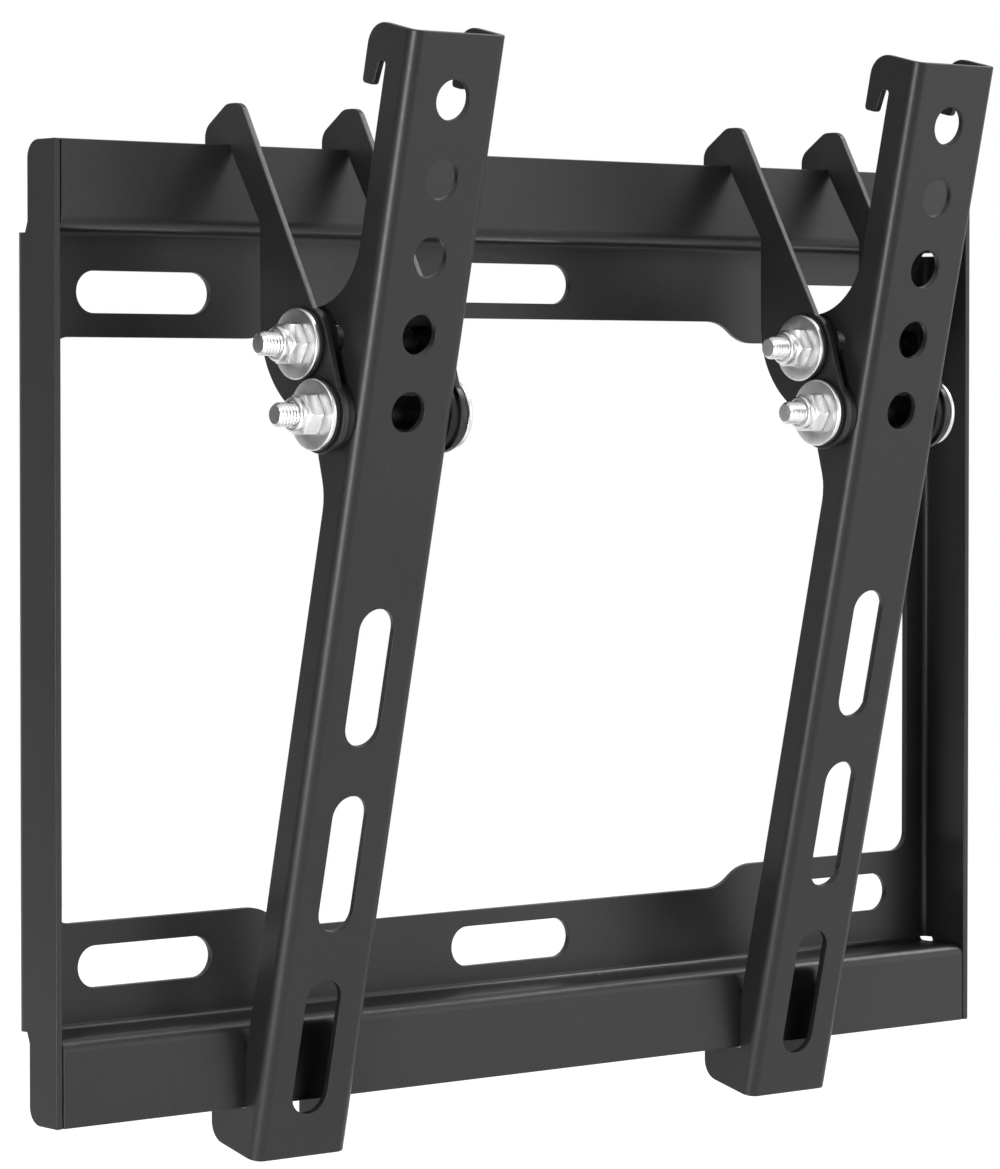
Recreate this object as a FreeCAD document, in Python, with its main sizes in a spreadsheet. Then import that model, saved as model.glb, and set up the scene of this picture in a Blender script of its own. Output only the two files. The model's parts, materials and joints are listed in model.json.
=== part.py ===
import FreeCAD, Part
import math
import os
import Sketcher

# Tilting wall bracket for a small television.
# +X runs along the rails to the right, +Y goes into the wall and +Z is up.
# The origin lies at the middle of the wall plate, on the wall.

doc = FreeCAD.newDocument("tilting_tv_wall_bracket")

# Driving sizes in millimetres and degrees
SIZES = {
    # wall plate, folded from one sheet
    "plateWidth": 260.0,
    "plateHeight": 200.0,
    "plateDepth": 14.7,
    "plateSheet": 1.5,
    "plateBend": 1.2,
    "railHeight": 18.0,
    "railEndGap": 0.3,
    "windowSideMargin": 7.8,
    "sideStripHeight": 21.8,
    "middleStripHeight": 16.9,
    "windowCornerRadius": 4.5,
    "stepAcross": 65.7,
    "stepRun": 6.3,
    "stepRadius": 10.5,
    "wallSlotLength": 33.8,
    "wallSlotWidth": 8.7,
    "sideSlotInset": 31.2,
    "sideSlotMargin": 5.0,
    "middleSlotMargin": 3.5,
    "tabSetback": 4.8,
    "tabCornerRadius": 3.7,
    "cornerReliefInset": 3.0,
    "cornerReliefGap": 0.7,
    "cornerReliefDepth": 5.0,
    # where the two assemblies hang on the top rail
    "leftArmAcross": -70.6,
    "rightArmAcross": 68.9,
    # hook plates
    "hookSheet": 1.5,
    "hookTopHeight": 8.6,
    "hookNoseReach": 3.7,
    "hookTipWidth": 6.95,
    "hookTipDepth": 10.0,
    "hookTipRadius": 2.2,
    "hookThroatRadius": 0.6,
    "hookShoulderRun": 7.6,
    "hookShoulderRise": 4.9,
    "hookShoulderRadius": 3.6,
    "hookNoseRadius": 3.2,
    "hookClearance": 0.25,
    "hookLedge": 0.9,
    "hookWaistReach": 10.5,
    "hookWaistDrop": 16.6,
    "hookWaistRadius": 2.0,
    "hookBellyDrop": 48.4,
    "hookBellyRadius": 21.0,
    "hookLobeRadius": 8.0,
    "hookSideInset": 0.8,
    "hookFrontAngle": 22.0,
    # bolts, nuts and washers
    "pivotDrop": 55.6,
    "washerGap": 0.7,
    "boltLean": 21.0,
    "boltDiameter": 5.0,
    "boltHoleClearance": 0.05,
    "boltChamfer": 0.6,
    "boltStickOut": 4.1,
    "boltHeadDiameter": 9.4,
    "boltHeadHeight": 2.5,
    "boltHeadRadius": 1.6,
    "nutAcrossFlats": 8.0,
    "nutHexHeight": 3.5,
    "nutChamfer": 0.55,
    "nutCollarDiameter": 7.3,
    "nutCollarHeight": 1.6,
    "nutCollarRadius": 0.8,
    "washerDiameter": 14.6,
    "steelWasherThickness": 1.1,
    "washerEdgeRadius": 0.25,
    "outerWasherThickness": 1.0,
    "innerWasherThickness": 2.25,
    "washerHoleClearance": 0.15,
    # arms
    "armWidth": 24.5,
    "armSheet": 1.5,
    "armBend": 1.2,
    "armFlangeDepth": 7.95,
    "armTopMargin": 13.55,
    "armFootMargin": 24.25,
    "pivotInset": 8.4,
    "tiltAngle": 13.1,
    "tiltBackAngle": 10.0,
    "holeDiameter": 8.4,
    "holePitch": 16.0,
    "screenPattern": 200.0,
    "slotPitch": 40.0,
    "slotLength": 29.4,
    "slotWidth": 9.0,
    "tiltSlotWidth": 5.5,
    "earLobeRadius": 7.5,
    "earBlendRadius": 18.0,
    "earBlendShare": 0.92,
    "earFootAngle": 28.0,
    "earFootRadius": 13.0,
    "clawDepth": 14.55,
    "clawHeight": 12.9,
    "clawCornerRadius": 5.0,
    "clawGap": 2.0,
    "clawTaper": 1.0,
    "clawGapHeight": 5.4,
    "clawTipRadius": 0.9,
    "heelDepth": 12.1,
    "heelHeight": 7.25,
    "heelFlangeDepth": 5.5,
    "heelGap": 0.3,
    "heelCornerRadius": 4.5,
}

sheet = doc.addObject("Spreadsheet::Sheet", "Sizes")
for row, (name, number) in enumerate(SIZES.items(), start=1):
    sheet.set(f"A{row}", name)
    sheet.set(f"B{row}", str(number))
    sheet.setAlias(f"B{row}", name)
doc.recompute()


class Size:
    """A number together with the spreadsheet expression that gives it."""

    def __init__(self, value, text):
        self.value = float(value)
        self.text = text

    def join(self, other, sign, value):
        return Size(value, f"({self.text} {sign} {as_size(other).text})")

    def __add__(self, other):
        return self.join(other, "+", self.value + as_size(other).value)

    def __sub__(self, other):
        return self.join(other, "-", self.value - as_size(other).value)

    def __mul__(self, other):
        return self.join(other, "*", self.value * as_size(other).value)

    def __truediv__(self, other):
        return self.join(other, "/", self.value / as_size(other).value)

    def __radd__(self, other):
        return as_size(other) + self

    def __rsub__(self, other):
        return as_size(other) - self

    def __rmul__(self, other):
        return as_size(other) * self

    def __neg__(self):
        return Size(-self.value, f"(0 - {self.text})")


def as_size(value):
    return value if isinstance(value, Size) else Size(value, repr(float(value)))


def root(value):
    return Size(math.sqrt(value.value), f"sqrt({value.text})")


def sine(angle):
    return Size(math.sin(math.radians(angle.value)), f"sin({angle.text})")


def cosine(angle):
    return Size(math.cos(math.radians(angle.value)), f"cos({angle.text})")


def size(name):
    return Size(sheet.get(name), f"Sizes.{name}")


def new_body(label):
    body = doc.addObject("PartDesign::Body", label)
    body.Label = label
    return body


def origin_feature(body, role):
    return next(item for item in body.Origin.OriginFeatures if item.Role == role)


def new_sketch(body, name, role, offset=None):
    """A sketch on one of the body's own origin planes, moved along the plane's normal."""
    sketch = body.newObject("Sketcher::SketchObject", name)
    sketch.AttachmentSupport = (origin_feature(body, role), [""])
    sketch.MapMode = "FlatFace"
    if offset is not None:
        sketch.setExpression("AttachmentOffset.Base.z", offset.text)
    return sketch


def bind(sketch, constraint, value):
    """Adds one dimension to the sketch and ties it to the spreadsheet."""
    index = sketch.addConstraint(constraint)
    sketch.setExpression(f"Constraints[{index}]", as_size(value).text)


def place_point(sketch, geometry, position, across, up):
    """Puts a point of the sketch at (across, up) from the sketch's origin."""
    across = as_size(across)
    up = as_size(up)
    if across.value:
        bind(sketch, Sketcher.Constraint("DistanceX", -1, 1, geometry, position, across.value), across)
    else:
        sketch.addConstraint(Sketcher.Constraint("PointOnObject", geometry, position, -2))
    if up.value:
        bind(sketch, Sketcher.Constraint("DistanceY", -1, 1, geometry, position, up.value), up)
    else:
        sketch.addConstraint(Sketcher.Constraint("PointOnObject", geometry, position, -1))


def vector(across, up):
    return FreeCAD.Vector(as_size(across).value, as_size(up).value, 0)


def draw_outline(sketch, corners):
    """Draws a closed outline of straight sides through the given (across, up) corners."""
    points = [vector(across, up) for across, up in corners]
    sides = []
    for number, point in enumerate(points):
        following = points[(number + 1) % len(points)]
        sides.append(sketch.addGeometry(Part.LineSegment(point, following), False))
    for number, (across, up) in enumerate(corners):
        sketch.addConstraint(Sketcher.Constraint("Coincident", sides[number - 1], 2, sides[number], 1))
        place_point(sketch, sides[number], 1, across, up)


def draw_circle(sketch, across, up, diameter):
    shape = Part.Circle(vector(across, up), FreeCAD.Vector(0, 0, 1), diameter.value / 2)
    circle = sketch.addGeometry(shape, False)
    place_point(sketch, circle, 3, across, up)
    bind(sketch, Sketcher.Constraint("Diameter", circle, diameter.value), diameter)


def draw_slot(sketch, across, up, length, width, upright):
    """Draws a slot with round ends, centred at (across, up)."""
    reach = (length - width) / 2
    step_across = as_size(0) if upright else reach
    step_up = reach if upright else as_size(0)
    first = (across - step_across, up - step_up)
    last = (across + step_across, up + step_up)
    along = (vector(*last) - vector(*first)).normalize()
    aside = FreeCAD.Vector(-along.y, along.x, 0) * (width.value / 2)
    tip = along * (width.value / 2)
    start = vector(*first)
    end = vector(*last)
    cap_start = sketch.addGeometry(Part.Arc(start + aside, start - tip, start - aside), False)
    cap_end = sketch.addGeometry(Part.Arc(end - aside, end + tip, end + aside), False)
    side_one = sketch.addGeometry(Part.LineSegment(start - aside, end - aside), False)
    side_two = sketch.addGeometry(Part.LineSegment(end + aside, start + aside), False)
    sketch.addConstraint([
        Sketcher.Constraint("Tangent", cap_start, 2, side_one, 1),
        Sketcher.Constraint("Tangent", side_one, 2, cap_end, 1),
        Sketcher.Constraint("Tangent", cap_end, 2, side_two, 1),
        Sketcher.Constraint("Tangent", side_two, 2, cap_start, 1),
        Sketcher.Constraint("Equal", cap_start, cap_end),
    ])
    place_point(sketch, cap_start, 3, *first)
    place_point(sketch, cap_end, 3, *last)
    bind(sketch, Sketcher.Constraint("Radius", cap_start, width.value / 2), width / 2)


def on_circle(radius, angle):
    """A point of a circle about the origin; the angle starts at up and turns towards across."""
    return radius * sine(angle), radius * cosine(angle)


def draw_curved_slot(sketch, radius, width, start_angle, end_angle):
    """Draws a slot that bends round the origin, between two angles from upright."""
    outer = radius + width / 2
    inner = radius - width / 2
    middle_angle = (start_angle + end_angle) / 2

    def arc_through(distance, first, second, third):
        points = [vector(*on_circle(distance, angle)) for angle in (first, second, third)]
        return Part.Arc(*points)

    def cap(angle, turn):
        middle = vector(*on_circle(radius, angle))
        outward = vector(*on_circle(width / 2, angle))
        tip = FreeCAD.Vector(outward.y, -outward.x, 0) * turn
        return Part.Arc(middle + outward, middle + tip, middle - outward)

    rim = sketch.addGeometry(arc_through(outer, end_angle, middle_angle, start_angle), False)
    heel = sketch.addGeometry(arc_through(inner, end_angle, middle_angle, start_angle), False)
    low_cap = sketch.addGeometry(cap(start_angle, -1), False)
    high_cap = sketch.addGeometry(cap(end_angle, 1), False)
    sketch.addConstraint([
        Sketcher.Constraint("Coincident", rim, 3, -1, 1),
        Sketcher.Constraint("Coincident", heel, 3, -1, 1),
        Sketcher.Constraint("Tangent", rim, 2, low_cap, 1),
        Sketcher.Constraint("Tangent", low_cap, 2, heel, 2),
        Sketcher.Constraint("Tangent", rim, 1, high_cap, 2),
        Sketcher.Constraint("Tangent", high_cap, 1, heel, 1),
    ])
    place_point(sketch, low_cap, 3, *on_circle(radius, start_angle))
    end_across = on_circle(radius, end_angle)[0]
    bind(sketch, Sketcher.Constraint("DistanceX", -1, 1, high_cap, 3, end_across.value), end_across)
    bind(sketch, Sketcher.Constraint("Radius", rim, outer.value), outer)


def pad(body, name, sketch, length, symmetric=False):
    feature = body.newObject("PartDesign::Pad", name)
    feature.Profile = sketch
    feature.SideType = "Symmetric" if symmetric else "One side"
    feature.setExpression("Length", length.text)
    body.Tip = feature
    return feature


def cut_through(body, name, sketch):
    """Cuts the sketch through the whole body, to both sides of the sketch."""
    doc.recompute()
    before = body.Shape.Volume
    feature = body.newObject("PartDesign::Pocket", name)
    feature.Profile = sketch
    feature.SideType = "Symmetric"
    feature.Type = "ThroughAll"
    body.Tip = feature
    doc.recompute()
    if body.Shape.Volume >= before:
        raise RuntimeError(f"{body.Label}: {name} cuts nothing")
    return feature


def mirror(body, name, features, role):
    feature = body.newObject("PartDesign::Mirrored", name)
    feature.Originals = features
    feature.MirrorPlane = (origin_feature(body, role), [""])
    body.Tip = feature
    return feature


def fillet(body, name, radius, is_wanted):
    """Rounds every edge of the body that is_wanted picks."""
    doc.recompute()
    base = body.Tip
    picked = [
        f"Edge{number}" for number, edge in enumerate(base.Shape.Edges, start=1) if is_wanted(edge)
    ]
    if not picked:
        raise RuntimeError(f"{body.Label}: {name} finds no edge")
    feature = body.newObject("PartDesign::Fillet", name)
    feature.Base = (base, picked)
    feature.setExpression("Radius", as_size(radius).text)
    body.Tip = feature
    return feature


def round_corners(body, name, radius, axis, places):
    """Rounds the straight edges along an axis; each place gives its two other coordinates."""
    others = [number for number in range(3) if number != "XYZ".index(axis)]
    wanted = [[as_size(value).value for value in place] for place in places]

    def is_wanted(edge):
        ends = [vertex.Point for vertex in edge.Vertexes]
        if len(ends) != 2:
            return False
        return any(
            all(abs(end[other] - value) < 1e-3 for end in ends for other, value in zip(others, place))
            for place in wanted)

    return fillet(body, name, radius, is_wanted)


def round_rims(body, name, radius, rims):
    """Rounds the round edges of a turned body; each rim gives its place along X and its radius."""
    wanted = [[as_size(value).value for value in rim] for rim in rims]

    def is_wanted(edge):
        if not isinstance(edge.Curve, Part.Circle):
            return False
        return any(
            abs(edge.Curve.Center.x - along) < 1e-3 and abs(edge.Curve.Radius - rim) < 1e-3
            for along, rim in wanted)

    return fillet(body, name, radius, is_wanted)


def turn(body, name, outline, kind="PartDesign::Revolution"):
    """Turns an outline of (along, radius) corners once round the body's X axis."""
    sketch = new_sketch(body, f"{name}_profile", "XY_Plane")
    draw_outline(sketch, outline)
    turned = body.newObject(kind, name)
    turned.Profile = sketch
    turned.ReferenceAxis = (origin_feature(body, "X_Axis"), [""])
    turned.Angle = 360
    body.Tip = turned
    return turned


def move(body, across=None, deep=None, up=None, tilt=None):
    """Places a body; tilt turns its top forward about the X axis."""
    for axis, distance in (("x", across), ("y", deep), ("z", up)):
        if distance is not None:
            body.setExpression(f"Placement.Base.{axis}", distance.text)
    if tilt is not None:
        body.Placement = FreeCAD.Placement(
            FreeCAD.Vector(), FreeCAD.Rotation(FreeCAD.Vector(1, 0, 0), tilt.value))
        body.setExpression("Placement.Rotation.Angle", tilt.text)


# Places that several pieces share
plate_half_width = size("plateWidth") / 2
plate_half_height = size("plateHeight") / 2
plate_outer_bend = size("plateBend") + size("plateSheet")
web_inner_side = plate_half_height - size("railHeight")
web_outer_side = web_inner_side + size("plateSheet")
lip_front = -size("plateDepth")
lip_back = lip_front + size("plateSheet")
side_inner_face = plate_half_width - size("plateSheet")

# The arm's foot rests on the bottom lip, which settles how far out the pivot is
heel_top = -plate_half_height - size("heelGap")
pivot_up = plate_half_height - size("pivotDrop")
rest_deep = size("heelFlangeDepth") - size("pivotInset")
rest_away = rest_deep - (heel_top - pivot_up) * sine(size("tiltAngle"))
pivot_deep = lip_front - rest_away / cosine(size("tiltAngle"))
bolt_spacing = size("washerDiameter") + size("washerGap")
upper_bolt_deep = pivot_deep + bolt_spacing * sine(size("boltLean"))
upper_bolt_up = pivot_up + bolt_spacing * cosine(size("boltLean"))

arm_half_width = size("armWidth") / 2
hook_inner_face = arm_half_width + size("innerWasherThickness")
hook_outer_face = hook_inner_face + size("hookSheet")
steel_inner_face = hook_outer_face + size("outerWasherThickness")
steel_outer_face = steel_inner_face + size("steelWasherThickness")
bolt_hole = size("boltDiameter") + 2 * size("boltHoleClearance")


def both_signs(places):
    """Every place with either sign of its last coordinate."""
    return [(*place[:-1], sign * place[-1]) for place in places for sign in (1, -1)]


def make_wall_plate():
    """One folded sheet: back with window and slots, two hooked rails and two side flanges."""
    body = new_body("wall_plate")
    thick = size("plateSheet")
    inner_bend = size("plateBend")
    bend_start = plate_half_width - plate_outer_bend
    rail_start = web_outer_side - plate_outer_bend

    back = new_sketch(body, "back_outline", "XZ_Plane")
    draw_outline(back, [
        (-bend_start, -rail_start),
        (bend_start, -rail_start),
        (bend_start, rail_start),
        (-bend_start, rail_start),
    ])
    pad(body, "back", back, thick)

    overlap = thick
    rail = new_sketch(body, "rail_profile", "YZ_Plane")
    draw_outline(rail, [
        (0, rail_start - overlap),
        (0, web_outer_side),
        (lip_back, web_outer_side),
        (lip_back, plate_half_height),
        (lip_front, plate_half_height),
        (lip_front, web_inner_side),
        (-thick, web_inner_side),
        (-thick, rail_start - overlap),
    ])
    top_rail = pad(body, "top_rail", rail, 2 * (side_inner_face - size("railEndGap")), True)
    mirror(body, "both_rails", [top_rail], "XY_Plane")
    outer_bends = [(0, web_outer_side), (lip_front, web_inner_side)]
    round_corners(body, "rail_outer_bends", plate_outer_bend, "X", both_signs(outer_bends))
    inner_bends = [(lip_back, web_outer_side), (-thick, web_inner_side)]
    round_corners(body, "rail_inner_bends", inner_bend, "X", both_signs(inner_bends))

    # A slit at each corner keeps the rails' bends clear of the side bends
    side_half_height = web_inner_side - size("cornerReliefGap")
    relief_start = plate_half_width - size("cornerReliefInset")
    relief = new_sketch(body, "corner_relief_outlines", "XZ_Plane", size("cornerReliefDepth"))
    for side in (1, -1):
        for end in (1, -1):
            draw_outline(relief, [
                (side * relief_start, end * rail_start),
                (side * side_inner_face, end * rail_start),
                (side * side_inner_face, end * (web_outer_side + size("cornerReliefGap"))),
                (side * relief_start, end * (web_outer_side + size("cornerReliefGap"))),
            ])
    reliefs = body.newObject("PartDesign::Pocket", "corner_reliefs")
    reliefs.Profile = relief
    reliefs.SideType = "One side"
    reliefs.Type = "Length"
    reliefs.setExpression("Length", (size("cornerReliefDepth") + thick).text)
    body.Tip = reliefs

    flange_start = -(plate_outer_bend + inner_bend)
    edge = new_sketch(body, "side_bend_profile", "XY_Plane")
    draw_outline(edge, [
        (relief_start, 0),
        (plate_half_width, 0),
        (plate_half_width, flange_start),
        (side_inner_face, flange_start),
        (side_inner_face, -thick),
        (relief_start, -thick),
    ])
    side_bend = pad(body, "side_bend", edge, 2 * side_half_height, True)

    tab_back = -size("tabSetback")
    flange = new_sketch(body, "side_flange_outline", "YZ_Plane", side_inner_face)
    upper_half = [
        (lip_front, plate_half_height),
        (tab_back, plate_half_height),
        (tab_back, web_outer_side),
        (flange_start, side_half_height),
    ]
    lower_half = [(deep, -up) for deep, up in reversed(upper_half)]
    draw_outline(flange, upper_half + lower_half)
    side_flange = pad(body, "side_flange", flange, thick)
    mirror(body, "both_sides", [side_bend, side_flange], "YZ_Plane")

    for name, across, deep, radius in (
            ("side_outer_bends", plate_half_width, 0, plate_outer_bend),
            ("side_inner_bends", side_inner_face, -thick, inner_bend)):
        round_corners(body, name, radius, "Z", [(across, deep), (-across, deep)])
    tab_corners = both_signs([(tab_back, plate_half_height)])
    round_corners(body, "tab_corners", size("tabCornerRadius"), "X", tab_corners)

    half_width = plate_half_width - size("windowSideMargin")
    side_up = web_inner_side - size("sideStripHeight")
    middle_up = web_inner_side - size("middleStripHeight")
    step_out = size("stepAcross") + size("stepRun") / 2
    step_in = size("stepAcross") - size("stepRun") / 2
    quarter = [(half_width, side_up), (step_out, side_up), (step_in, middle_up)]
    corners = list(quarter)
    corners += [(-across, up) for across, up in reversed(quarter)]
    corners += [(-across, -up) for across, up in quarter]
    corners += [(across, -up) for across, up in reversed(quarter)]
    window = new_sketch(body, "window_outline", "XZ_Plane")
    draw_outline(window, corners)
    cut_through(body, "window", window)
    ends = both_signs([(half_width, side_up), (-half_width, side_up)])
    round_corners(body, "window_corners", size("windowCornerRadius"), "Y", ends)
    steps = [(side * across, up) for across, up in quarter[1:] for side in (1, -1)]
    round_corners(body, "window_steps", size("stepRadius"), "Y", both_signs(steps))

    holes = new_sketch(body, "wall_slot_outlines", "XZ_Plane")
    half_slot = size("wallSlotWidth") / 2
    side_slot_across = plate_half_width - size("sideSlotInset")
    side_slot_up = side_up + size("sideSlotMargin") + half_slot
    places = [(as_size(0), middle_up + size("middleSlotMargin") + half_slot)]
    places += [(side * side_slot_across, side_slot_up) for side in (1, -1)]
    for across, up in both_signs(places):
        draw_slot(holes, across, up, size("wallSlotLength"), size("wallSlotWidth"), False)
    cut_through(body, "wall_slots", holes)
    return body


def make_hook_plate(label, arm_across, face):
    """A flat plate that hooks over the top lip and carries one side of an arm."""
    body = new_body(label)
    lobe = size("hookLobeRadius")
    clearance = size("hookClearance")
    throat_front = lip_front - clearance
    throat_back = lip_back + clearance
    back = throat_back + size("hookTipWidth")
    front = lip_front - size("hookNoseReach")
    waist = lip_front - size("hookWaistReach")
    top = plate_half_height + size("hookTopHeight")
    shoulder_up = top - size("hookShoulderRise")
    shoulder_deep = back - size("hookShoulderRun")
    tip_end = plate_half_height - size("hookTipDepth")
    waist_up = plate_half_height - size("hookWaistDrop")
    belly_up = plate_half_height - size("hookBellyDrop")
    front_deep, front_up = on_circle(lobe, size("hookFrontAngle"))
    side_deep = lobe * cosine(size("boltLean"))
    side_up = lobe * sine(size("boltLean"))
    inset = lobe - size("hookSideInset")
    inset_deep = inset * cosine(size("boltLean"))
    inset_up = inset * sine(size("boltLean"))
    outline = new_sketch(body, f"{label}_outline", "YZ_Plane")
    draw_outline(outline, [
        (throat_front, plate_half_height),
        (throat_back, plate_half_height),
        (throat_back, tip_end),
        (back, tip_end),
        (back, shoulder_up),
        (shoulder_deep, top),
        (front, top),
        (upper_bolt_deep - front_deep, upper_bolt_up + front_up),
        (upper_bolt_deep - side_deep, upper_bolt_up + side_up),
        (pivot_deep - inset_deep, pivot_up + inset_up),
        (pivot_deep + lobe * 0.6, pivot_up - lobe * 0.2),
        (waist, belly_up),
        (waist, waist_up),
        (throat_front, plate_half_height - size("hookLedge")),
    ])
    pad(body, f"{label}_sheet", outline, size("hookSheet"))
    for name, radius, deep, up in (
            ("throat", size("hookThroatRadius"), throat_back, tip_end),
            ("tip", size("hookTipRadius"), back, tip_end),
            ("shoulder", size("hookShoulderRadius"), back, shoulder_up),
            ("crown", size("hookShoulderRadius"), shoulder_deep, top),
            ("nose", size("hookNoseRadius"), front, top),
            ("belly", size("hookBellyRadius"), waist, belly_up),
            ("waist", size("hookWaistRadius"), waist, waist_up)):
        round_corners(body, f"{label}_{name}", radius, "X", [(deep, up)])
    for name, deep, up in (
            ("lower_lobe", pivot_deep, pivot_up),
            ("upper_lobe", upper_bolt_deep, upper_bolt_up)):
        circle = new_sketch(body, f"{label}_{name}_outline", "YZ_Plane")
        draw_circle(circle, deep, up, 2 * lobe)
        pad(body, f"{label}_{name}", circle, size("hookSheet"))
    holes = new_sketch(body, f"{label}_hole_outlines", "YZ_Plane")
    draw_circle(holes, pivot_deep, pivot_up, bolt_hole)
    draw_circle(holes, upper_bolt_deep, upper_bolt_up, bolt_hole)
    cut_through(body, f"{label}_holes", holes)
    move(body, across=arm_across + face)
    return body


def to_arm(deep, up):
    """Turns a place seen from the wall into the tilted arm's own (deep, up) from its pivot."""
    tilt = size("tiltAngle")
    away = deep - pivot_deep
    above = up - pivot_up
    return away * cosine(tilt) + above * sine(tilt), above * cosine(tilt) - away * sine(tilt)


def make_arm(label, arm_across):
    """A channel that takes the screen's screws, hung on the two bolts of its hook plates."""
    body = new_body(label)
    thick = size("armSheet")
    bend = size("armBend")
    face = -size("pivotInset")
    tilt = size("tiltAngle")
    contact_deep, contact_up = to_arm(lip_front, heel_top)
    heel_deep, heel_up = to_arm(lip_front + size("heelDepth"), heel_top)
    bottom = heel_up - size("heelHeight")
    lowest_slot = bottom + size("armFootMargin")
    first_hole = lowest_slot + size("screenPattern")
    top = first_hole + size("armTopMargin")
    front = face + thick + bend
    inner_face = arm_half_width - thick

    channel = new_sketch(body, f"{label}_channel_profile", "XY_Plane", bottom)
    draw_outline(channel, [
        (-arm_half_width, front + thick),
        (-arm_half_width, face),
        (arm_half_width, face),
        (arm_half_width, front + thick),
        (inner_face, front + thick),
        (inner_face, face + thick),
        (-inner_face, face + thick),
        (-inner_face, front + thick),
    ])
    pad(body, f"{label}_channel", channel, top - bottom)
    outer_edges = [(side * arm_half_width, face) for side in (1, -1)]
    round_corners(body, f"{label}_outer_bends", thick + bend, "Z", outer_edges)
    inner_edges = [(side * inner_face, face + thick) for side in (1, -1)]
    round_corners(body, f"{label}_inner_bends", bend, "Z", inner_edges)

    # The claw at the top of each flange
    rear = size("armFlangeDepth") - size("pivotInset")
    claw_back = size("clawDepth") - size("pivotInset")
    claw_end = top - size("clawHeight")
    claw_root = rear + size("clawGap")
    claw_tip = claw_root + size("clawTaper")
    claw_top = claw_end + size("clawGapHeight")

    # The ear round the bolts: its upper side curves into the rear edge and its foot runs out straight
    lobe = size("earLobeRadius")
    blend = size("earBlendRadius")
    lean = size("boltLean") + tilt
    ear_deep, ear_up = on_circle(bolt_spacing, lean)
    reach = lobe + blend
    blend_deep = rear + blend
    upper_run = blend_deep - ear_deep
    upper_rise = root(reach * reach - upper_run * upper_run)
    upper_corner = ear_up + upper_rise - blend * upper_rise / (reach + upper_run)
    foot_angle = size("earFootAngle")
    knee_reach = lobe / cosine((lean - foot_angle) / 2)
    knee_deep = knee_reach * cosine((lean + foot_angle) / 2)
    knee_up = -knee_reach * sine((lean + foot_angle) / 2)
    lower_corner = knee_up - (knee_deep - rear) * cosine(foot_angle) / sine(foot_angle)

    # The lower end rests on the front of the bottom lip and its heel reaches in under the lip
    contact_top = contact_up + (rear - contact_deep) * cosine(tilt) / sine(tilt)
    heel_foot = heel_deep - (heel_up - bottom) * sine(tilt) / cosine(tilt)

    flange = new_sketch(body, f"{label}_flange_outline", "YZ_Plane", inner_face)
    draw_outline(flange, [
        (front, top),
        (claw_back, top),
        (claw_back, claw_end),
        (claw_tip, claw_end),
        (claw_root, claw_top),
        (rear, claw_top),
        (rear, upper_corner),
        (ear_deep + lobe * upper_run / reach, ear_up + lobe * upper_rise / reach),
        (ear_deep + lobe * cosine(lean), ear_up - lobe * sine(lean)),
        (knee_deep, knee_up),
        (rear, lower_corner),
        (rear, contact_top),
        (contact_deep, contact_up),
        (heel_deep, heel_up),
        (heel_foot, bottom),
        (front, bottom),
    ])
    one_flange = pad(body, f"{label}_flange", flange, thick)
    circle = new_sketch(body, f"{label}_ear_outline", "YZ_Plane", inner_face)
    draw_circle(circle, ear_deep, ear_up, 2 * lobe)
    ear = pad(body, f"{label}_ear", circle, thick)
    mirror(body, f"{label}_both_flanges", [one_flange, ear], "YZ_Plane")
    claw_tips = [(claw_back, claw_end), (claw_tip, claw_end), (claw_root, claw_top), (rear, claw_top)]
    for name, radius, places in (
            ("claw_corners", size("clawCornerRadius"), [(claw_back, top)]),
            ("claw_tips", size("clawTipRadius"), claw_tips),
            ("ear_blend", blend * size("earBlendShare"), [(rear, upper_corner)]),
            ("ear_foot", size("earFootRadius"), [(rear, lower_corner), (knee_deep, knee_up)]),
            ("heel_corners", size("heelCornerRadius"), [(heel_foot, bottom)])):
        round_corners(body, f"{label}_{name}", radius, "X", places)

    pivots = new_sketch(body, f"{label}_pivot_outline", "YZ_Plane")
    draw_circle(pivots, as_size(0), as_size(0), bolt_hole)
    cut_through(body, f"{label}_pivot_holes", pivots)
    tilt_slot = new_sketch(body, f"{label}_tilt_slot_outline", "YZ_Plane")
    first_angle = size("boltLean") - size("tiltBackAngle")
    draw_curved_slot(tilt_slot, bolt_spacing, size("tiltSlotWidth"), first_angle, lean)
    cut_through(body, f"{label}_tilt_slots", tilt_slot)

    holes = new_sketch(body, f"{label}_screw_hole_outlines", "XZ_Plane")
    for number in range(5):
        up = first_hole - number * size("holePitch")
        draw_circle(holes, as_size(0), up, size("holeDiameter"))
    for number in range(3):
        up = lowest_slot + number * size("slotPitch")
        draw_slot(holes, as_size(0), up, size("slotLength"), size("slotWidth"), True)
    cut_through(body, f"{label}_screw_holes", holes)
    move(body, arm_across, pivot_deep, pivot_up, tilt)
    return body


def make_washer(label, thickness):
    body = new_body(label)
    hole = size("boltDiameter") / 2 + size("washerHoleClearance")
    rim = size("washerDiameter") / 2
    turn(body, f"{label}_ring", [
        (0, hole),
        (0, rim),
        (thickness, rim),
        (thickness, hole),
    ])
    round_rims(body, f"{label}_edges", size("washerEdgeRadius"), [(0, rim), (thickness, rim)])
    return body


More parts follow.
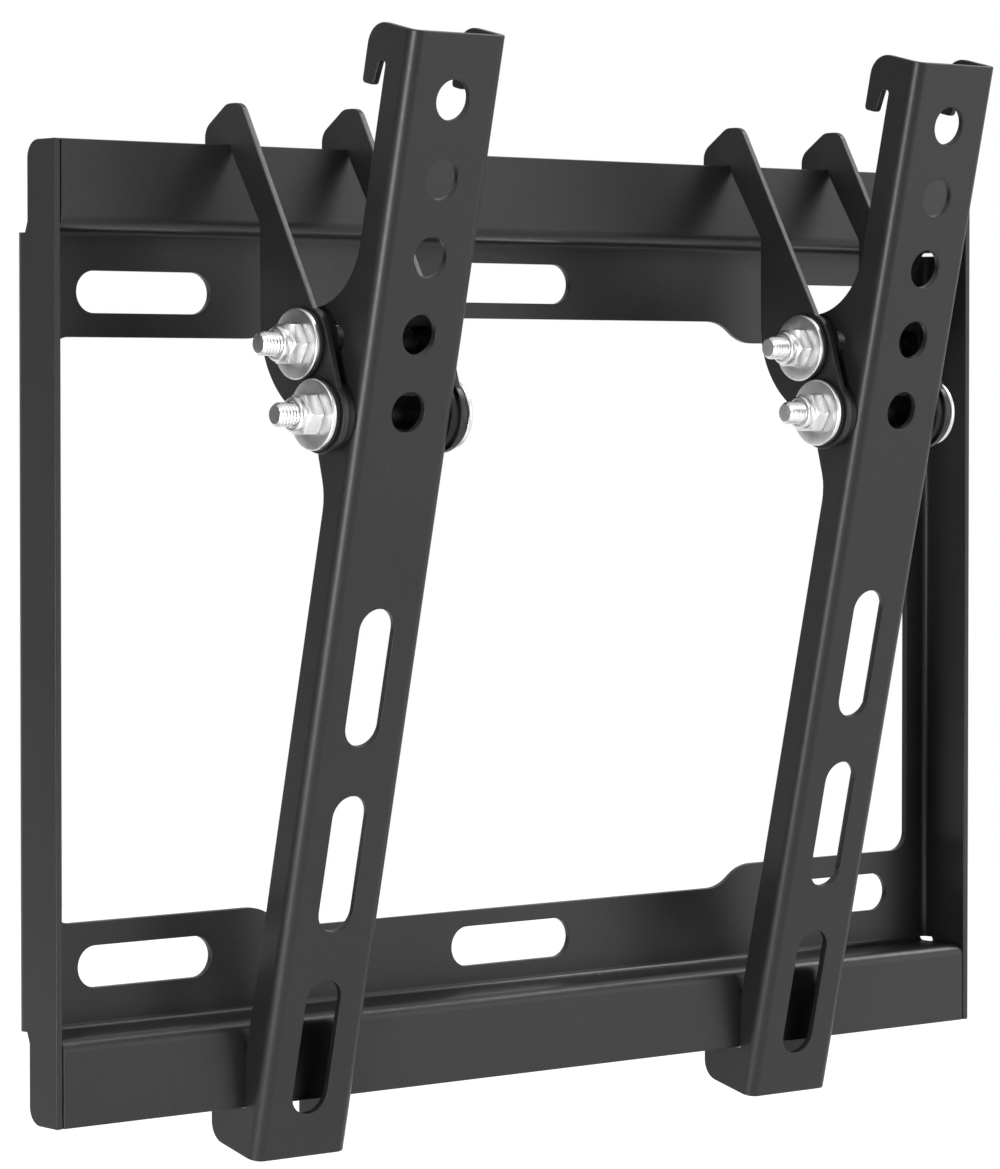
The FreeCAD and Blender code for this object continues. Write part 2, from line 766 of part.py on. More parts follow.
def make_bolt(label):
    """A bolt that lies along X with its head to the right and its end through the nut."""
    body = new_body(label)
    shank = size("boltDiameter") / 2
    chamfer = size("boltChamfer")
    head = size("boltHeadDiameter") / 2
    head_end = steel_outer_face + size("boltHeadHeight")
    end = -(steel_outer_face + size("nutHexHeight") + size("nutCollarHeight") + size("boltStickOut"))
    turn(body, f"{label}_shank", [
        (end, 0),
        (end, shank - chamfer),
        (end + chamfer, shank),
        (steel_outer_face, shank),
        (steel_outer_face, head),
        (head_end, head),
        (head_end, 0),
    ])
    round_rims(body, f"{label}_head_edge", size("boltHeadRadius"), [(head_end, head)])
    return body


def make_nut(label):
    """A lock nut: a chamfered hexagon with a round collar on its outer side."""
    body = new_body(label)
    corner_radius = size("nutAcrossFlats") / root(as_size(3))
    hexagon = new_sketch(body, f"{label}_hexagon_outline", "YZ_Plane", -size("nutHexHeight"))
    draw_outline(hexagon, [on_circle(corner_radius, as_size(60 * step + 30)) for step in range(6)])
    pad(body, f"{label}_hexagon", hexagon, size("nutHexHeight"))

    chamfer = size("nutChamfer")
    hex_end = -size("nutHexHeight")
    flat = size("nutAcrossFlats") / 2
    tip = corner_radius + chamfer
    for name, face, inward in (("outer", hex_end, 1), ("inner", as_size(0), -1)):
        turn(body, f"{label}_{name}_chamfer", [
            (face, flat),
            (face, tip),
            (face + inward * (tip - flat) * chamfer, tip),
        ], "PartDesign::Groove")

    hole = size("boltDiameter") / 2 + size("boltHoleClearance")
    rim = size("nutCollarDiameter") / 2
    end = hex_end - size("nutCollarHeight")
    turn(body, f"{label}_collar", [
        (hex_end + chamfer, hole),
        (hex_end + chamfer, rim),
        (end, rim),
        (end, hole),
    ])
    round_rims(body, f"{label}_collar_edge", size("nutCollarRadius"), [(end, rim)])
    bore = new_sketch(body, f"{label}_bore_outline", "YZ_Plane")
    draw_circle(bore, as_size(0), as_size(0), 2 * hole)
    cut_through(body, f"{label}_bore", bore)
    return body


def make_bolt_set(side, name, arm_across, deep, up):
    """One through bolt with its lock nut, two steel washers and four plastic washers."""
    pieces = []
    bolt = make_bolt(f"{side}_{name}_bolt")
    move(bolt, arm_across, deep, up)
    nut = make_nut(f"{side}_{name}_nut")
    move(nut, arm_across - steel_outer_face, deep, up)
    pieces += [bolt, nut]
    for kind, start, thickness in (
            ("steel_washer", steel_inner_face, size("steelWasherThickness")),
            ("outer_washer", hook_outer_face, size("outerWasherThickness")),
            ("inner_washer", arm_half_width, size("innerWasherThickness"))):
        for end, place in (("left", -(start + thickness)), ("right", start)):
            washer = make_washer(f"{side}_{name}_{kind}_{end}", thickness)
            move(washer, arm_across + place, deep, up)
            pieces.append(washer)
    return pieces


def make_assembly(side, arm_across):
    """An arm between two hook plates on two bolts."""
    pieces = [make_arm(f"{side}_arm", arm_across)]
    pieces.append(make_hook_plate(f"{side}_hook_plate_left", arm_across, -hook_outer_face))
    pieces.append(make_hook_plate(f"{side}_hook_plate_right", arm_across, hook_inner_face))
    pieces += make_bolt_set(side, "lower", arm_across, pivot_deep, pivot_up)
    pieces += make_bolt_set(side, "upper", arm_across, upper_bolt_deep, upper_bolt_up)
    return pieces


pieces = [make_wall_plate()]
pieces += make_assembly("left", size("leftArmAcross"))
pieces += make_assembly("right", size("rightArmAcross"))
doc.recompute()

# Nothing is written unless every object and every piece is sound
for item in doc.Objects:
    if "Invalid" in item.State or "Error" in item.State:
        raise RuntimeError(f"{item.Label} did not recompute: {item.State}")
for piece in pieces:
    if piece.Shape.isNull() or not piece.Shape.isValid() or len(piece.Shape.Solids) != 1:
        raise RuntimeError(f"{piece.Label} is not one sound solid")

os.makedirs("parts", exist_ok=True)
for piece in pieces:
    piece.Shape.exportStep(f"parts/{piece.Label}.step")
print(f"{len(pieces)} pieces written")
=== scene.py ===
import json
import math

import bpy
from mathutils import Matrix, Vector


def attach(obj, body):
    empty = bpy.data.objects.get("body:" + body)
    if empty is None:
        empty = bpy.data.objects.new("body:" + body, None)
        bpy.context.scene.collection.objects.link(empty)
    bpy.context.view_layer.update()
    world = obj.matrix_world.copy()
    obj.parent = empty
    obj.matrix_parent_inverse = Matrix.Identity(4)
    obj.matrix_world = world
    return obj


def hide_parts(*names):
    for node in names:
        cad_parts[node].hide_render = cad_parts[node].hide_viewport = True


MM = 0.001

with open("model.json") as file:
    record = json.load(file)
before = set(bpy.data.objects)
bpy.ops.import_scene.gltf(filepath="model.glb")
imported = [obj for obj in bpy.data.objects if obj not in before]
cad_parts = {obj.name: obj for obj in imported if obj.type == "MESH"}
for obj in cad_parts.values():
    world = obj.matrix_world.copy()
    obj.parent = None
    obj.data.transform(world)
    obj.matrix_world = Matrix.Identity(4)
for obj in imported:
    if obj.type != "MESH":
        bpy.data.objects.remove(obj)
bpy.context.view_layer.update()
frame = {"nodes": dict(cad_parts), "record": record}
nodes = frame["nodes"]
bodies = frame["record"]["behaviour"]["bodies"]
body_of = {node: body for body, members in bodies.items() for node in members}
bpy.ops.object.select_all(action="DESELECT")


# Shader maths

# The Mix node's sockets for colours, by number, because its other sockets have the same names
MIX_SHARE, MIX_FIRST, MIX_SECOND, MIX_COLOUR = 0, 6, 7, 2


class Wire:
    """A shader value that can be used in sums."""

    def __init__(self, finish, socket):
        self.finish = finish
        self.socket = socket

    def maths(self, operation, first, second):
        return self.finish.node("ShaderNodeMath", {"operation": operation}, {0: first, 1: second})

    def __add__(self, other):
        return self.maths("ADD", self, other)

    def __radd__(self, other):
        return self.maths("ADD", other, self)

    def __sub__(self, other):
        return self.maths("SUBTRACT", self, other)

    def __rsub__(self, other):
        return self.maths("SUBTRACT", other, self)

    def __mul__(self, other):
        return self.maths("MULTIPLY", self, other)

    def __rmul__(self, other):
        return self.maths("MULTIPLY", other, self)


class Finish:
    """The nodes of one material, or of the world."""

    def __init__(self, owner):
        self.owner = owner
        owner.use_nodes = True
        self.tree = owner.node_tree
        self.tree.nodes.clear()

    def make(self, kind, settings, inputs):
        """Makes any node from its type, its settings, and its sockets' values or links."""
        made = self.tree.nodes.new(kind)
        for key, value in settings.items():
            setattr(made, key, value)
        for key, value in inputs.items():
            if isinstance(value, Wire):
                self.tree.links.new(value.socket, made.inputs[key])
            else:
                made.inputs[key].default_value = value
        return made

    def node(self, kind, settings, inputs, output=0):
        """Makes a node and gives one of its outputs."""
        return Wire(self, self.make(kind, settings, inputs).outputs[output])

    def place(self, stretch=(1, 1, 1)):
        where = self.node("ShaderNodeTexCoord", {}, {}, output="Object")
        return self.node("ShaderNodeMapping", {}, {"Vector": where, "Scale": stretch})

    def noise(self, scale, detail, roughness, stretch=(1, 1, 1)):
        return self.node("ShaderNodeTexNoise", {}, {
            "Vector": self.place(stretch), "Scale": scale,
            "Detail": detail, "Roughness": roughness})

    def grains(self, scale):
        return self.node("ShaderNodeTexVoronoi", {}, {"Vector": self.place(), "Scale": scale})

    def spread(self, value, low, high):
        """Stretches the range from low to high over 0 to 1."""
        return self.node("ShaderNodeMapRange", {}, {
            "Value": value, "From Min": low, "From Max": high})

    def blend(self, share, first, second):
        return self.node("ShaderNodeMix", {"data_type": "RGBA"}, {
            MIX_SHARE: share, MIX_FIRST: first, MIX_SECOND: second}, output=MIX_COLOUR)

    def bump(self, height, distance, strength):
        return self.node("ShaderNodeBump", {}, {
            "Height": height, "Distance": distance, "Strength": strength})

    def mix_shaders(self, share, first, second):
        return self.node("ShaderNodeMixShader", {}, {0: share, 1: first, 2: second})

    def ray(self, kind):
        """1 for rays of this kind, such as those from the camera or from gloss."""
        return self.node("ShaderNodeLightPath", {}, {}, output=f"Is {kind} Ray")

    def mirrored(self):
        return self.ray("Glossy") + self.ray("Transmission")

    def surface(self, **sockets):
        inputs = {key.replace("_", " "): value for key, value in sockets.items()}
        return self.close(self.node("ShaderNodeBsdfPrincipled", {}, inputs))

    def close(self, shader, end="ShaderNodeOutputMaterial"):
        """Ends the tree with this shader and gives the material or world that it belongs to."""
        self.make(end, {}, {"Surface": shader})
        return self.owner


# Materials

def powder_coat():
    """Black powder coat: a fine pebbled skin whose gloss and tone drift slowly over the steel."""
    finish = Finish(bpy.data.materials.new("black powder coat"))
    cloud = finish.noise(scale=22.0, detail=4.0, roughness=0.55)
    peel = finish.noise(scale=750.0, detail=3.0, roughness=0.55)
    pebble = finish.grains(scale=3000.0)
    dust = finish.noise(scale=2400.0, detail=1.0, roughness=0.5)
    specks = finish.spread(dust, 0.66, 0.74)
    tone = finish.blend(finish.spread(cloud, 0.3, 0.7),
                        (0.0078, 0.0078, 0.0081, 1), (0.0118, 0.0118, 0.0122, 1))
    return finish.surface(
        Base_Color=finish.blend(specks * 0.35, tone, (0.05, 0.05, 0.052, 1)),
        Roughness=0.40 + 0.10 * (cloud - 0.5) + 0.12 * (peel - 0.5) + 0.05 * specks,
        Specular_IOR_Level=0.35,
        Normal=finish.bump(peel * 0.8 + pebble * 0.5, distance=0.00003, strength=0.4))


def zinc_plate():
    """Bright zinc plating with cloudy gloss, fine drawing marks and a few dull specks."""
    finish = Finish(bpy.data.materials.new("bright zinc"))
    cloud = finish.noise(scale=330.0, detail=4.0, roughness=0.6)
    marks = finish.noise(scale=900.0, detail=3.0, roughness=0.6, stretch=(6, 1, 1))
    dust = finish.noise(scale=1900.0, detail=2.0, roughness=0.6)
    specks = finish.spread(dust, 0.62, 0.72)
    tone = finish.blend(finish.spread(cloud, 0.3, 0.7),
                        (0.54, 0.545, 0.55, 1), (0.70, 0.70, 0.69, 1))
    return finish.surface(
        Base_Color=finish.blend(specks * 0.22, tone, (0.42, 0.42, 0.41, 1)),
        Metallic=1.0,
        Roughness=0.32 + 0.14 * (cloud - 0.4) + 0.08 * (marks - 0.5) + 0.10 * specks,
        Normal=finish.bump(marks, distance=0.00002, strength=0.35))


def nylon(name, dark, pale, gloss, shine):
    """Moulded nylon, satin, with a faint flow pattern and tiny pits."""
    finish = Finish(bpy.data.materials.new(name))
    flow = finish.noise(scale=260.0, detail=3.0, roughness=0.55, stretch=(1, 1, 2))
    pits = finish.spread(finish.grains(scale=1500.0), 0.0, 0.35)
    return finish.surface(
        Base_Color=finish.blend(finish.spread(flow, 0.3, 0.7), (*dark, 1), (*pale, 1)),
        Roughness=gloss + 0.14 * (flow - 0.5) + 0.05 * (1 - pits),
        Specular_IOR_Level=shine,
        Normal=finish.bump(pits * 0.3 + flow, distance=0.00003, strength=0.3))


coat = powder_coat()
zinc = zinc_plate()
black_nylon = nylon("black nylon", dark=(0.006, 0.006, 0.0065), pale=(0.011, 0.011, 0.0115),
                    gloss=0.48, shine=0.2)
natural_nylon = nylon("natural nylon", dark=(0.50, 0.51, 0.50), pale=(0.62, 0.62, 0.60),
                      gloss=0.45, shine=0.5)


# Modelling, with all places and sizes in millimetres

FLAT_SLACK = 0.01
RIM_SLACK = 0.03
FIRST_MERGE = 0.004
LAST_MERGE = 0.002


def hold(piece):
    """Makes this piece the only one that the next operator acts on."""
    bpy.ops.object.select_all(action="DESELECT")
    piece.select_set(True)
    bpy.context.view_layer.objects.active = piece


def whole(piece):
    """Selects all of a piece, and stays in edit mode."""
    hold(piece)
    bpy.ops.object.mode_set(mode="EDIT")
    bpy.ops.mesh.select_all(action="SELECT")


def pick(piece, kind, wanted):
    """Selects the faces, edges or points whose corners are wanted, and stays in edit mode."""
    bpy.ops.object.mode_set(mode="OBJECT")
    mesh = piece.data
    for part in (*mesh.vertices, *mesh.edges, *mesh.polygons):
        part.select = False
    parts = {"VERT": mesh.vertices, "EDGE": mesh.edges, "FACE": mesh.polygons}[kind]
    for part in parts:
        corners = [mesh.vertices[i].co for i in getattr(part, "vertices", [part.index])]
        part.select = wanted([corner / MM for corner in corners])
    bpy.context.tool_settings.mesh_select_mode = (kind == "VERT", kind == "EDGE", kind == "FACE")
    bpy.ops.object.mode_set(mode="EDIT")


def done():
    bpy.ops.object.mode_set(mode="OBJECT")


def modify(piece, kind, **settings):
    """Adds one modifier and applies it at once."""
    hold(piece)
    modifier = piece.modifiers.new(kind.lower(), kind)
    for key, value in settings.items():
        setattr(modifier, key, value)
    bpy.ops.object.modifier_apply(modifier=modifier.name)


def flat_at(level):
    """A test for parts that lie wholly at one level along the axis."""
    return lambda corners: all(abs(corner.z - level) < FLAT_SLACK for corner in corners)


def rim_at(level, radius):
    """A test for the edges of one round rim."""
    def is_on_rim(corner):
        out = math.hypot(corner.x, corner.y)
        return abs(corner.z - level) < RIM_SLACK and abs(out - radius) < RIM_SLACK
    return lambda corners: all(is_on_rim(corner) for corner in corners)


def rod(name, radius, start, end, sides):
    """A round or many-sided bar along the axis, from one level to another."""
    bpy.ops.object.select_all(action="DESELECT")
    bpy.ops.mesh.primitive_cylinder_add(
        vertices=sides, radius=radius * MM, depth=(end - start) * MM,
        location=(0, 0, (start + end) / 2 * MM))
    piece = bpy.context.object
    piece.name = name
    bpy.ops.object.transform_apply(location=True, rotation=True, scale=True)
    return piece


def round_rim(piece, level, radius, reach, segments, profile=0.5):
    pick(piece, "EDGE", rim_at(level, radius))
    bpy.ops.mesh.bevel(offset=reach * MM, segments=segments, profile=profile, affect="EDGES")
    done()


def turn_down(blank, level, depth, share):
    """Chamfers an end: its face goes in by depth, and comes out again at a share of its size.
    The lower end takes a negative depth."""
    pick(blank, "FACE", flat_at(level))
    bpy.ops.transform.translate(value=(0, 0, -depth * MM))
    bpy.ops.mesh.extrude_region_move(TRANSFORM_OT_translate={"value": (0, 0, depth * MM)})
    bpy.ops.transform.resize(value=(share, share, 1))


def join(piece, *others):
    hold(piece)
    for other in others:
        other.select_set(True)
    bpy.ops.object.join()


def cut(piece, tool, operation):
    modify(piece, "BOOLEAN", operation=operation, object=tool, solver="EXACT")
    bpy.data.objects.remove(tool)


def smooth(piece, angle):
    """Merges doubles, turns the faces outwards and shades curves below this angle smoothly."""
    whole(piece)
    bpy.ops.mesh.remove_doubles(threshold=LAST_MERGE * MM)
    bpy.ops.mesh.normals_make_consistent(inside=False)
    done()
    bpy.ops.object.shade_smooth_by_angle(angle=math.radians(angle))


def paint(piece, *materials):
    piece.data.materials.clear()
    for material in materials:
        piece.data.materials.append(material)


def stand_for(piece, node):
    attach(piece, body_of[node])
    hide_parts(node)


# Pressed steel parts: a copy of the node's mesh with its cut edges broken

FLAT_WITHIN = 0.4
SHARP_FROM = 40
EDGE_BREAK = 0.22
RELIEF_SIDE = 126.9
RELIEF_BOTTOM = 80.7
RELIEF_TOP = 83.55
RELIEF_FRONT = -2.75


def in_relief(point):
    """Whether a point lies in one of the plate's small corner reliefs, which stay sharp."""
    is_level = RELIEF_BOTTOM < abs(point.z) < RELIEF_TOP
    return is_level and abs(point.x) > RELIEF_SIDE and point.y > RELIEF_FRONT


def pressed(node):
    """Makes a pressed part in the place of its node."""
    piece = bpy.data.objects.new(f"pressed_{node}", nodes[node].data.copy())
    bpy.context.scene.collection.objects.link(piece)
    whole(piece)
    bpy.ops.mesh.customdata_custom_splitnormals_clear()
    bpy.ops.mesh.remove_doubles(threshold=FIRST_MERGE * MM)
    bpy.ops.mesh.dissolve_limited(angle_limit=math.radians(FLAT_WITHIN))
    bpy.ops.mesh.select_all(action="DESELECT")
    bpy.context.tool_settings.mesh_select_mode = (False, True, False)
    bpy.ops.mesh.edges_select_sharp(sharpness=math.radians(SHARP_FROM))
    bpy.ops.transform.edge_bevelweight(value=1.0)
    pick(piece, "EDGE", lambda corners: all(in_relief(corner) for corner in corners))
    bpy.ops.transform.edge_bevelweight(value=-1.0)
    done()
    bpy.ops.object.shade_smooth()
    modify(piece, "BEVEL", width=EDGE_BREAK * MM, segments=2, limit_method="WEIGHT",
           use_clamp_overlap=False)
    modify(piece, "WEIGHTED_NORMAL", mode="FACE_AREA", weight=50)
    paint(piece, coat)
    stand_for(piece, node)


pressed("wall_plate")
for side in ("left", "right"):
    pressed(f"{side}_arm")
    pressed(f"{side}_hook_plate_left")
    pressed(f"{side}_hook_plate_right")


# Fasteners, modelled along Z with the nut's side up, their levels counted from the arm's middle

SPACER_AND_SHADE_END = 10.6
FLANGE_FACE = 12.25
HOOK_INNER_FACE = 14.5
HOOK_OUTER_FACE = 16.0
STEEL_WASHER_BACK = 17.0
SEAT = 18.1
HEAD_END = 20.6
HEXAGON_END = 21.6
COLLAR_END = 23.2
BOLT_END = 27.3

# How far a piece goes into the one that it stands on
OVERLAP = 0.3

# Radii of what is round
WASHER_HOLE = 2.65
WASHER_RIM = 7.3
SHANK = 2.42
# The black tube on the shank: a guessed spacer that also paints the shade the bolt lies in inside
# the arm
SPACER_AND_SHADE = 3.8
HEAD = 4.7
NUT_BLANK = 4.63
COLLAR = 3.65
COLLAR_FOOT = 3.85
NYLON_RING = 2.7

NUT_ACROSS_FLATS = 8.0
NUT_EDGE_BREAK = 0.10
FOOT_END = HEXAGON_END + 0.22
COLLAR_SINK = 0.4

PITCH = 0.8
THREAD_TURNS = 10
THREAD_ROOT = 2.0
THREAD_CREST = 2.46
THREAD_BLANK = 2.48
THREAD_MARGIN = 0.1
CREST_WIDTH = 0.08
CREST_BREAK = 0.09
BOLT_CHAMFER = 0.6

# The winding starts deep in the nut, and the thread is cut to start a little inside it
SHANK_END = HEXAGON_END - 0.2
THREAD_START = HEXAGON_END - 0.5
WINDING_START = HEXAGON_END - 1.6

RECESS_LENGTH = 4.5
RECESS_WIDTH = 0.95
RECESS_DEPTH = 1.6
RECESS_TURN = 20


def make_washer(name, start, end, softness):
    """A flat washer, its outer rim rounded and its hole left a little sharper."""
    piece = rod(name, WASHER_RIM, start, end, sides=96)
    pick(piece, "FACE", lambda corners: len(corners) > 4)
    bpy.ops.mesh.inset(thickness=(WASHER_RIM - WASHER_HOLE) * MM, use_individual=True)
    bpy.ops.mesh.bridge_edge_loops()
    done()
    for level in (start, end):
        round_rim(piece, level, WASHER_RIM, reach=softness, segments=3)
        round_rim(piece, level, WASHER_HOLE, reach=softness * 0.4, segments=2)
    smooth(piece, angle=40)
    return piece


def make_thread():
    """A screw thread: one V tooth with a flat crest, wound up the axis and closed at both ends."""
    bpy.ops.object.select_all(action="DESELECT")
    bpy.ops.mesh.primitive_circle_add(
        vertices=4, radius=PITCH / 2 * MM, rotation=(math.radians(90), 0, 0),
        location=(THREAD_ROOT * MM, 0, WINDING_START * MM))
    piece = bpy.context.object
    piece.name = "thread"
    bpy.ops.object.transform_apply(location=True, rotation=True, scale=True)
    pick(piece, "VERT", lambda corners: corners[0].x < THREAD_ROOT - THREAD_MARGIN)
    bpy.ops.mesh.delete(type="VERT")
    pick(piece, "VERT", lambda corners: corners[0].x > THREAD_ROOT + THREAD_MARGIN)
    reach = THREAD_CREST - THREAD_ROOT - PITCH / 2 + CREST_WIDTH
    bpy.ops.transform.translate(value=(reach * MM, 0, 0))
    bpy.ops.mesh.bevel(offset=CREST_BREAK * MM, segments=2, affect="VERTICES")
    done()
    modify(piece, "SCREW", axis="Z", screw_offset=PITCH * MM, iterations=THREAD_TURNS, steps=48,
           render_steps=48, use_merge_vertices=True, merge_threshold=FIRST_MERGE * MM)
    whole(piece)
    bpy.ops.mesh.remove_doubles(threshold=FIRST_MERGE * MM)
    bpy.ops.mesh.fill_holes(sides=0)
    bpy.ops.mesh.normals_make_consistent(inside=False)
    done()
    return piece


def make_head():
    """A pan head with a cross recess, whose wings narrow towards the bottom."""
    head = rod("head", HEAD, -HEAD_END, -SEAT, sides=96)
    round_rim(head, -HEAD_END, HEAD, reach=1.55, segments=7, profile=0.55)
    round_rim(head, -SEAT, HEAD, reach=0.15, segments=2)
    for turn in (0, 90):
        bpy.ops.object.select_all(action="DESELECT")
        bpy.ops.mesh.primitive_cube_add(size=1.0)
        wing = bpy.context.object
        wing.dimensions = (RECESS_LENGTH * MM, RECESS_WIDTH * MM, 2 * RECESS_DEPTH * MM)
        wing.location = (0, 0, -HEAD_END * MM)
        wing.rotation_euler = (0, 0, math.radians(turn + RECESS_TURN))
        bpy.ops.object.transform_apply(location=True, rotation=True, scale=True)
        pick(wing, "FACE", flat_at(-HEAD_END + RECESS_DEPTH))
        bpy.ops.transform.resize(value=(0.5, 0.5, 1))
        done()
        cut(head, wing, "DIFFERENCE")
    return head


def make_bolt():
    """A screw with a threaded end, a pan head and a black tube on its shank, a guessed spacer that
    is also painted shade for the bolt inside the arm.
    """
    shank = rod("bolt", SHANK, -SEAT - OVERLAP, SHANK_END, sides=64)
    thread = make_thread()
    blank = rod("blank", THREAD_BLANK, THREAD_START, BOLT_END, sides=64)
    round_rim(blank, BOLT_END, THREAD_BLANK, reach=BOLT_CHAMFER, segments=1)
    cut(thread, blank, "INTERSECT")
    head = make_head()
    # A black nylon tube on the shank between the flanges: a guessed spacer, and painted shade that
    # darkens the bolt where it shows through the slots
    spacer_and_shade = rod("spacer_and_shade", SPACER_AND_SHADE, -SPACER_AND_SHADE_END, SPACER_AND_SHADE_END, sides=64)
    for end in (-SPACER_AND_SHADE_END, SPACER_AND_SHADE_END):
        round_rim(spacer_and_shade, end, SPACER_AND_SHADE, reach=0.25, segments=2)
    for steel in (shank, thread, head):
        paint(steel, zinc)
    paint(spacer_and_shade, black_nylon)
    join(shank, thread, head, spacer_and_shade)
    smooth(shank, angle=34)
    return shank


def make_nut():
    """A lock nut: a hexagon with turned corners, a rolled collar and a ring of nylon in it."""
    nut = rod("nut", NUT_ACROSS_FLATS / math.sqrt(3), SEAT, HEXAGON_END, sides=6)
    blank = rod("blank", NUT_BLANK, SEAT, HEXAGON_END, sides=120)
    turn_down(blank, HEXAGON_END, depth=0.5, share=0.835)
    turn_down(blank, SEAT, depth=-0.2, share=0.9)
    done()
    cut(nut, blank, "INTERSECT")
    modify(nut, "BEVEL", width=NUT_EDGE_BREAK * MM, segments=2, limit_method="ANGLE",
           angle_limit=math.radians(28), use_clamp_overlap=False)

    collar = rod("collar", COLLAR, HEXAGON_END - OVERLAP, COLLAR_END, sides=96)
    round_rim(collar, COLLAR_END, COLLAR, reach=0.7, segments=5)
    pick(collar, "FACE", flat_at(COLLAR_END))
    bpy.ops.mesh.inset(thickness=0.12 * MM)
    bpy.ops.mesh.extrude_region_move(TRANSFORM_OT_translate={"value": (0, 0, -COLLAR_SINK * MM)})
    bpy.ops.transform.resize(value=(0.98, 0.98, 1))
    done()
    foot = rod("foot", COLLAR_FOOT, HEXAGON_END - OVERLAP, FOOT_END, sides=96)
    round_rim(foot, FOOT_END, COLLAR_FOOT, reach=0.18, segments=3)
    join(nut, collar, foot)
    smooth(nut, angle=34)
    paint(nut, zinc, natural_nylon)
    for face in nut.data.polygons:
        middle = face.center / MM
        is_sunk = abs(middle.z - COLLAR_END + COLLAR_SINK) < 0.02
        if is_sunk and math.hypot(middle.x, middle.y) < NYLON_RING and abs(face.normal.z) > 0.9:
            face.material_index = 1
    return nut


bolt = make_bolt()
nut = make_nut()
steel_washer = make_washer("steel_washer", STEEL_WASHER_BACK, SEAT, softness=0.3)
paint(steel_washer, zinc)
outer_washer = make_washer("outer_washer", HOOK_OUTER_FACE, STEEL_WASHER_BACK, softness=0.22)
paint(outer_washer, black_nylon)
inner_washer = make_washer("inner_washer", FLANGE_FACE, HOOK_INNER_FACE, softness=0.3)
paint(inner_washer, black_nylon)

# Each with its model, its slot, and the ends of a bolt that it is on
fasteners = {
    "bolt": (bolt, "zinc_steel", [""]),
    "nut": (nut, "zinc_steel", [""]),
    "steel_washer": (steel_washer, "zinc_steel", ["left", "right"]),
    "outer_washer": (outer_washer, "black_plastic", ["left", "right"]),
    "inner_washer": (inner_washer, "black_plastic", ["left", "right"]),
}
arm_middles = {"left": -70.6, "right": 68.9}
bolt_axes = {"lower": (-45.395, 44.4), "upper": (-39.91, 58.68)}
bolt_turns = {"left_lower": 44, "left_upper": 81, "right_lower": 55, "right_upper": 92}

nut_to_the_left = Matrix.Rotation(math.radians(-90), 4, "Y")
for side, x in arm_middles.items():
    for level, (y, z) in bolt_axes.items():
        home = Matrix.Translation(Vector((x, y, z)) * MM) @ nut_to_the_left
        for kind, (model, slot, ends) in fasteners.items():
            for end in ends:
                node = "_".join(filter(None, (side, level, kind, end)))
                turn = bolt_turns[f"{side}_{level}"] if kind == "bolt" else 0
                twist = Matrix.Rotation(math.radians(turn), 4, "Z")
                flip = Matrix.Rotation(math.pi if end == "right" else 0, 4, "X")
                piece = bpy.data.objects.new(f"turned_{node}", model.data.copy())
                bpy.context.scene.collection.objects.link(piece)
                piece.data.transform(home @ flip @ twist)
                stand_for(piece, node)

for model, *_ in fasteners.values():
    bpy.data.objects.remove(model)


# Camera

def look():
    """A long lens, at the place and angle solved from the photograph's perspective."""
    azimuth, elevation = -39.42, 1.539
    data = bpy.data.cameras.new("camera")
    data.sensor_fit = "HORIZONTAL"
    data.sensor_width = 36.0
    data.lens = 165.0
    data.shift_x = 0.0051
    data.shift_y = -0.0681
    data.clip_start = 0.05
    data.clip_end = 60.0
    camera = bpy.data.objects.new("camera", data)
    bpy.context.scene.collection.objects.link(camera)
    turn = Matrix.Rotation(math.radians(azimuth), 4, "Z")
    rise = Matrix.Rotation(math.radians(90 - elevation), 4, "X")
    camera.matrix_world = Matrix.Translation((-0.6466, -0.7824, 0.0487)) @ (turn @ rise)
    bpy.context.scene.camera = camera


# Studio

PAST_THE_BRACKET = (0.635, 0.772, 0.0)
UP = (0, 0, 1)
WHITE = (1, 1, 1, 1)
FLOOR_LEVEL = -0.26

# Each with its azimuth and elevation in degrees, its distance, width and height, and its power
soft_boxes = {
    "low strip": (-62, -6, 0.85, 0.18, 0.30, 5.2),
    "front": (39, 8, 1.8, 1.6, 1.0, 12),
    "high left": (-57, 41, 1.5, 0.5, 0.5, 3.8),
    "back": (-135, 25, 1.8, 0.5, 0.5, 0.7),
}


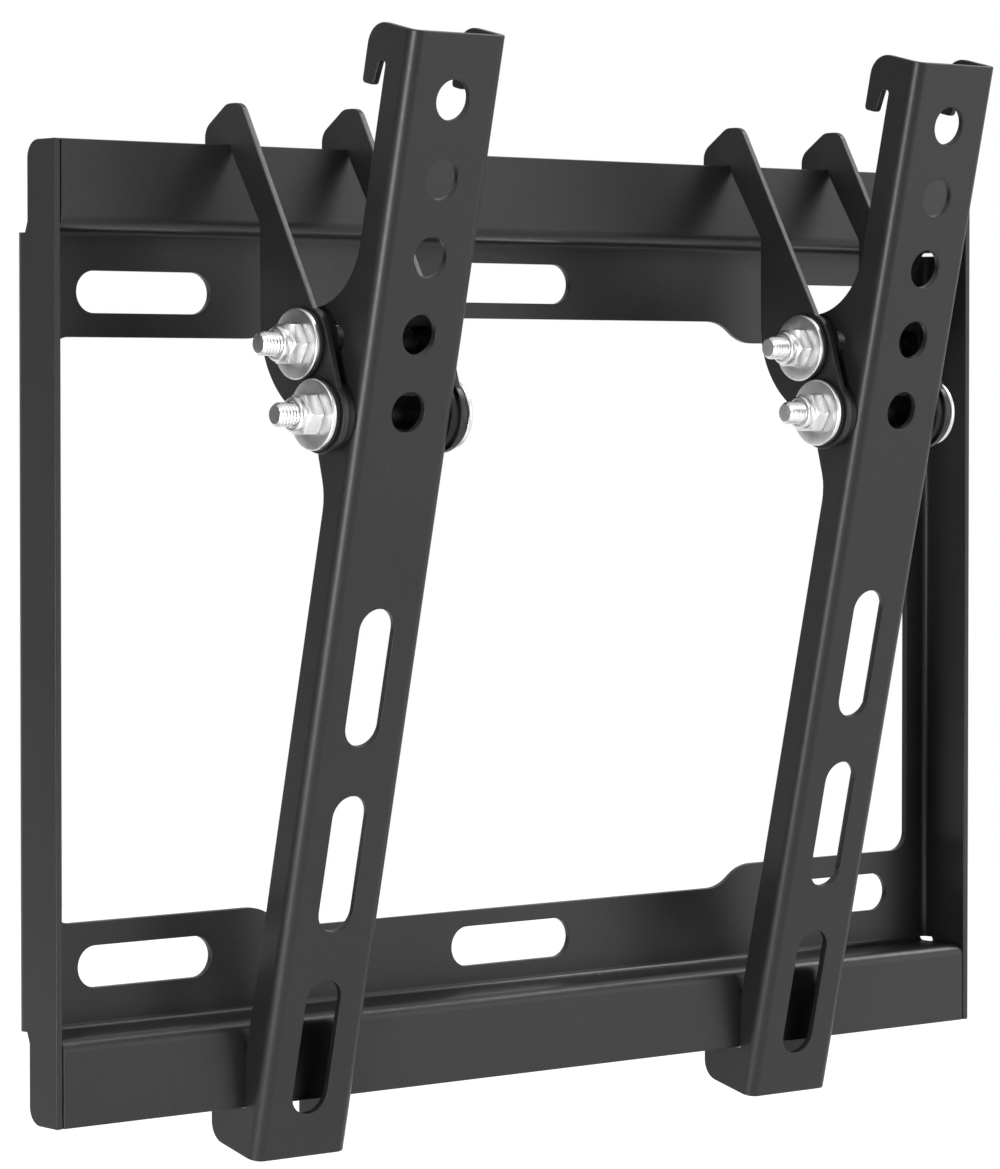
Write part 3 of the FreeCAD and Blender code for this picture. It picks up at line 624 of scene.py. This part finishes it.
def surround():
    """White for the camera, and for gloss that looks up or past the bracket; dim for the rest."""
    air = Finish(bpy.data.worlds.new("studio"))
    soft = air.node("ShaderNodeBackground", {}, {"Color": WHITE, "Strength": 0.20})
    white = air.node("ShaderNodeBackground", {}, {"Color": WHITE, "Strength": 1.0})
    heading = air.node("ShaderNodeTexCoord", {}, {}, output="Generated")

    def along(direction):
        return air.node("ShaderNodeVectorMath", {"operation": "DOT_PRODUCT"},
                        {0: heading, 1: direction}, output="Value")

    behind = air.spread(along(PAST_THE_BRACKET), 0.25, 0.6)
    above = air.spread(along(UP), 0.25, 0.5)
    bright = behind.maths("MAXIMUM", behind, above)
    seen = air.ray("Camera") + air.mirrored() * bright
    bpy.context.scene.world = air.close(air.mix_shaders(seen, soft, white),
                                        "ShaderNodeOutputWorld")


def lay_floor():
    """A pale floor, which keeps the shadow and is lifted to white for the camera and for gloss."""
    bpy.ops.object.select_all(action="DESELECT")
    bpy.ops.mesh.primitive_plane_add(size=3.0, location=(0, 0, FLOOR_LEVEL))
    floor = bpy.context.object
    floor.name = "floor"
    bpy.ops.object.transform_apply(location=True, rotation=True, scale=True)
    finish = Finish(bpy.data.materials.new("pale floor"))
    plain = finish.node("ShaderNodeBsdfDiffuse", {}, {"Color": (0.80, 0.80, 0.80, 1)})
    glow = finish.node("ShaderNodeEmission", {}, {"Color": WHITE, "Strength": 0.64})
    lifted = finish.node("ShaderNodeAddShader", {}, {0: plain, 1: glow})
    seen = finish.ray("Camera") + finish.mirrored()
    paint(floor, finish.close(finish.mix_shaders(seen, plain, lifted)))


def hang_overhead():
    """A broad sun, from high on the right."""
    data = bpy.data.lights.new("overhead", "SUN")
    data.energy = 1.4
    data.angle = math.radians(15)
    overhead = bpy.data.objects.new("overhead", data)
    bpy.context.scene.collection.objects.link(overhead)
    overhead.rotation_euler = (math.radians(42), 0, math.radians(71))


def set_up(name, azimuth, elevation, distance, width, height, power):
    """A soft box aimed at the bracket; azimuth 0 is straight in front, positive to the right."""
    turn, rise = math.radians(azimuth), math.radians(elevation)
    away = Vector((math.sin(turn) * math.cos(rise), -math.cos(turn) * math.cos(rise),
                   math.sin(rise)))
    data = bpy.data.lights.new(name, "AREA")
    data.shape = "RECTANGLE"
    data.size = width
    data.size_y = height
    data.energy = power
    box = bpy.data.objects.new(name, data)
    bpy.context.scene.collection.objects.link(box)
    box.location = away * distance
    box.rotation_euler = away.to_track_quat("Z", "Y").to_euler()


look()
bpy.context.scene.view_settings.view_transform = "Standard"
surround()
lay_floor()
hang_overhead()
for name, place in soft_boxes.items():
    set_up(name, *place)
